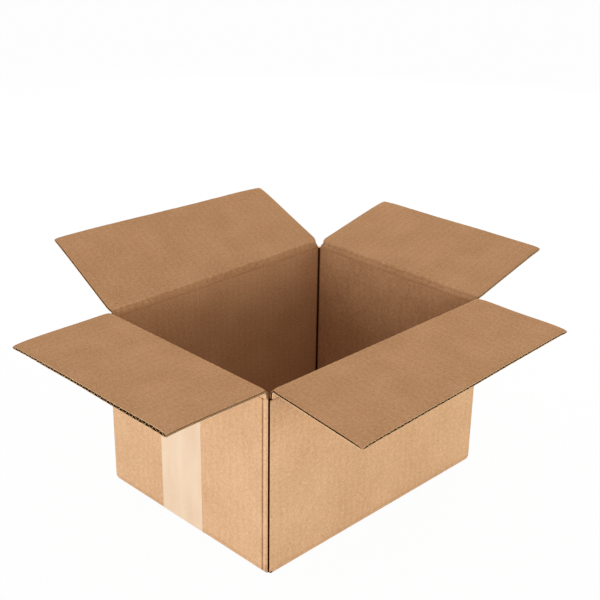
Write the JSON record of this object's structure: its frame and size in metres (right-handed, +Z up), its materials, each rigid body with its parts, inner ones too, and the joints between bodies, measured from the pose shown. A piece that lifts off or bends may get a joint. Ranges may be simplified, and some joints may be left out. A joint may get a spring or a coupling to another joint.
{
  "type": "open cardboard box",
  "caption": "Slotted carton of single-wall corrugated board, open, with its top flaps folded outwards and its bottom seam taped.",
  "frame": {"origin": "on the floor, under the middle of the carton's outer length and width", "axes": "+X along the long walls towards the right end wall, +Y towards the back wall, +Z up out of the open top"},
  "size_m": [0.4579, 0.3827, 0.2118],
  "materials": {
    "board": "matt brown kraft liner",
    "board_flap": "matt brown kraft liner with open flutes at the cut edges",
    "board_crease": "matt brown kraft liner, crushed along the score",
    "tape": "thin pale buff film with a soft sheen"
  },
  "bodies": {
    "walls": {"carton": "board", "packing_tape": "tape", "front_crease": "board_crease", "back_crease": "board_crease", "left_end_crease": "board_crease", "right_end_crease": "board_crease"},
    "front": {"front_flap": "board_flap"},
    "back": {"back_flap": "board_flap"},
    "left_end": {"left_end_flap": "board_flap"},
    "right_end": {"right_end_flap": "board_flap"}
  },
  "joints": [
    {"name": "front_fold", "type": "hinge", "parent": "walls", "child": "front", "pos_m": [0, -0.10415, 0.16655], "axis": [1, 0, 0], "range_deg": [-179.6, 83], "deforming": ["front_crease"]},
    {"name": "back_fold", "type": "hinge", "parent": "walls", "child": "back", "pos_m": [0, 0.10415, 0.16655], "axis": [-1, 0, 0], "range_deg": [-149.8, 112.8], "deforming": ["back_crease"]},
    {"name": "left_end_fold", "type": "hinge", "parent": "walls", "child": "left_end", "pos_m": [-0.1363, 0, 0.1644], "axis": [0, -1, 0], "range_deg": [-179.6, 89.4], "deforming": ["left_end_crease"]},
    {"name": "right_end_fold", "type": "hinge", "parent": "walls", "child": "right_end", "pos_m": [0.1363, 0, 0.1644], "axis": [0, 1, 0], "range_deg": [-166.2, 102.8], "deforming": ["right_end_crease"]}
  ]
}
